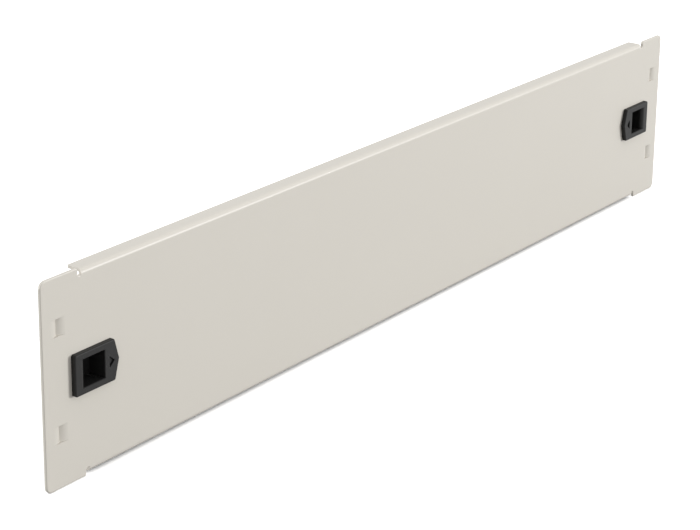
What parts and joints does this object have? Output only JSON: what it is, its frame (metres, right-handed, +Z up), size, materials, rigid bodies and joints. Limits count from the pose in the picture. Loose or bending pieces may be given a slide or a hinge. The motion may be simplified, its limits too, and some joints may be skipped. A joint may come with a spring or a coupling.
{
  "type": "rack blanking panel",
  "caption": "Rack blanking panel of folded sheet steel with flanged long edges, lanced lugs on its ears and sprung plastic slide latches with finger pockets.",
  "frame": {"origin": "middle of the sheet's rear face, in the plane that seats on the front of the rack's two rails", "axes": "+X along the width to the panel's right seen from the front, +Y backwards into the rack, +Z up"},
  "size_m": [0.4826, 0.0101, 0.0882],
  "materials": {
    "powder_coated_steel": "light warm grey powder coat, satin",
    "black_plastic": "black moulded plastic with a fine eroded texture",
    "spring_steel": "drawn spring wire"
  },
  "bodies": {
    "panel": {"panel": "powder_coated_steel", "left_spring": "spring_steel", "right_spring": "spring_steel"},
    "left_latch": {"left_latch": "black_plastic"},
    "right_latch": {"right_latch": "black_plastic"}
  },
  "joints": [
    {"name": "left_latch_slide", "type": "slide", "parent": "panel", "child": "left_latch", "axis": [1, 0, 0], "range_m": [0, 0.0038], "stiffness_N_per_m": 1150, "springref_m": -0.0015, "deforming": ["left_spring"]},
    {"name": "right_latch_slide", "type": "slide", "parent": "panel", "child": "right_latch", "axis": [-1, 0, 0], "range_m": [0, 0.0038], "stiffness_N_per_m": 1150, "springref_m": -0.0015, "deforming": ["right_spring"]}
  ]
}
